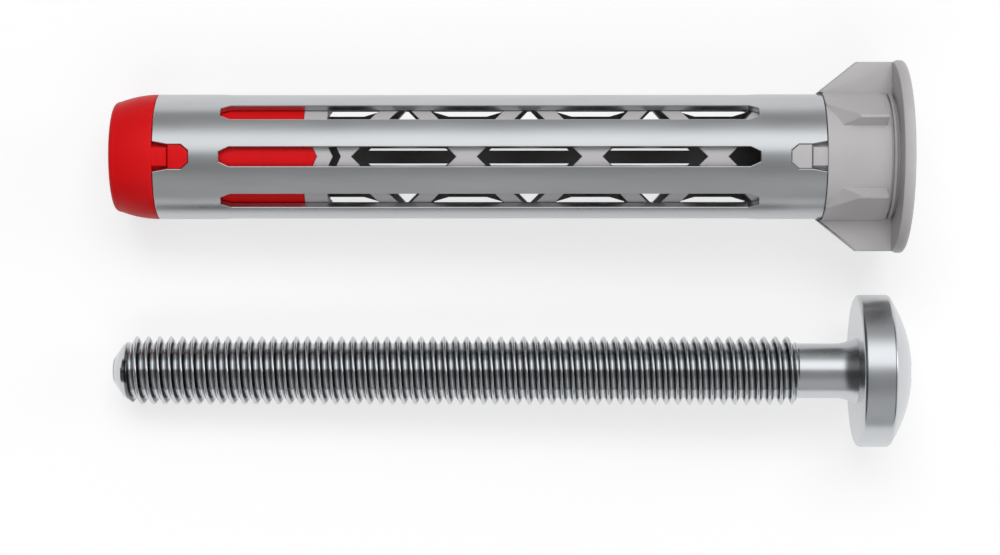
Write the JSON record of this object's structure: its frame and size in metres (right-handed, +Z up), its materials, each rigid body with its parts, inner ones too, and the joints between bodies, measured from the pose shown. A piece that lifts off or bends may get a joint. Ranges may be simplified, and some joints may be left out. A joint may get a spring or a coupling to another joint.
{
  "type": "metal hollow wall anchor",
  "caption": "Slotted steel sleeve anchor for hollow walls, with plastic nose, winged flange and collapsible inner cage, and its pan-head machine screw lying beside it.",
  "frame": {"origin": "on the floor, under the middle of the box round the anchor and its screw", "axes": "+X along both pieces towards their heads, +Y from the screw towards the anchor, +Z up"},
  "size_m": [0.0698, 0.0336, 0.0167],
  "materials": {
    "sleeve_steel": "zinc plated sheet, satin",
    "red_plastic": "moulded, low gloss",
    "insert_steel": "turned, bright",
    "grey_plastic": "moulded, fine matt",
    "screw_steel": "bright zinc plate"
  },
  "bodies": {
    "root": {"steel_sleeve": "sleeve_steel", "nose_plug": "red_plastic", "threaded_insert": "insert_steel", "flange_cage": "grey_plastic", "machine_screw": "screw_steel"}
  },
  "joints": []
}
